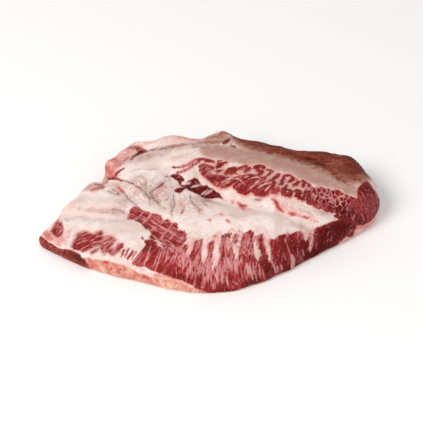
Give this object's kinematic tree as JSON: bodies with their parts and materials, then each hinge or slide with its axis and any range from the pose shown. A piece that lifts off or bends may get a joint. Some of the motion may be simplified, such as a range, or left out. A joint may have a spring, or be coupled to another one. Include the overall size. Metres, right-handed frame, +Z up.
{
  "type": "beef brisket",
  "caption": "Whole raw beef brisket lying on its fat cap, lean side up, thick and coarse-grained at the point and thin at the tapered flat end.",
  "frame": {"origin": "bottom centre of the bounding box, on the surface that the brisket lies on", "axes": "+X along the piece towards its thick point end, +Y towards its back edge as pictured, +Z up"},
  "size_m": [0.4528, 0.2748, 0.0734],
  "materials": {
    "raw_meat": "moist raw meat: red lean muscle with cream fat over and between it"
  },
  "bodies": {
    "root": {"brisket": "raw_meat"}
  },
  "joints": []
}
